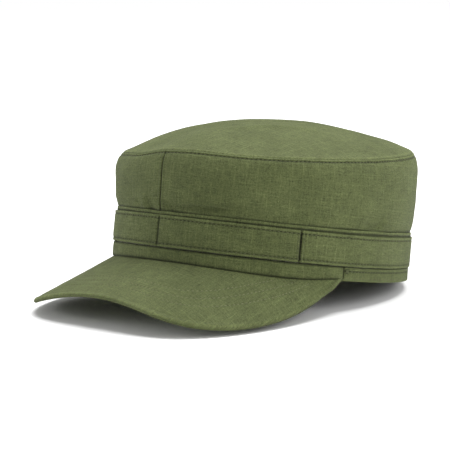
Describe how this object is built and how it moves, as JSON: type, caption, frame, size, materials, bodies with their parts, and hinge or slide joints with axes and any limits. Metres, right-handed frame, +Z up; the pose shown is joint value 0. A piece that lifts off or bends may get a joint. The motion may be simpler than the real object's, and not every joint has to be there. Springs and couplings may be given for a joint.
{
  "type": "peaked field cap",
  "caption": "Soft round field cap with a flat domed crown, a stitched wide band, a rolled hem and a stiff curved bill that flexes at its root.",
  "frame": {"origin": "bottom centre of the bounding box, on the surface the cap rests on", "axes": "+Z up, the bill points to -Y, +X is the wearer's left"},
  "size_m": [0.1854, 0.2656, 0.1117],
  "materials": {
    "ripstop": "matt ripstop cotton blend",
    "thread": "matt sewing thread",
    "tape": "matt twill tape",
    "interlining": "stiff woven canvas",
    "sweatband": "soft cotton twill",
    "label": "satin woven tape",
    "board": "matt polyethylene sheet"
  },
  "bodies": {
    "crown": {"back_seam_tape": "tape", "back_seam_threads": "thread", "band_backing": "ripstop", "band_bottom_thread": "thread", "band_front_left": "ripstop", "band_front_right": "ripstop", "band_lap_threads": "thread", "band_rear": "ripstop", "band_top_thread": "thread", "bar_tacks": "thread", "crown_seam_tape": "tape", "crown_seam_thread": "thread", "crown_top": "ripstop", "front_interlining": "interlining", "front_seam_tape": "tape", "front_seam_threads": "thread", "headband": "interlining", "hem_rear": "ripstop", "hem_thread": "thread", "hem_welt_front": "ripstop", "side_panel_left": "ripstop", "side_panel_right": "ripstop", "size_label": "label", "sweatband": "sweatband"},
    "bill": {"bill_board": "board", "bill_bottom_cover": "ripstop", "bill_bottom_threads": "thread", "bill_top_cover": "ripstop", "bill_top_threads": "thread"}
  },
  "joints": [
    {"name": "bill_flex", "type": "hinge", "parent": "crown", "child": "bill", "pos_m": [0, -0.08021, 0.03306], "axis": [-1, 0, 0], "range_deg": [0, 20], "stiffness_Nm_per_rad": 0.3, "springref_deg": -11.46}
  ]
}
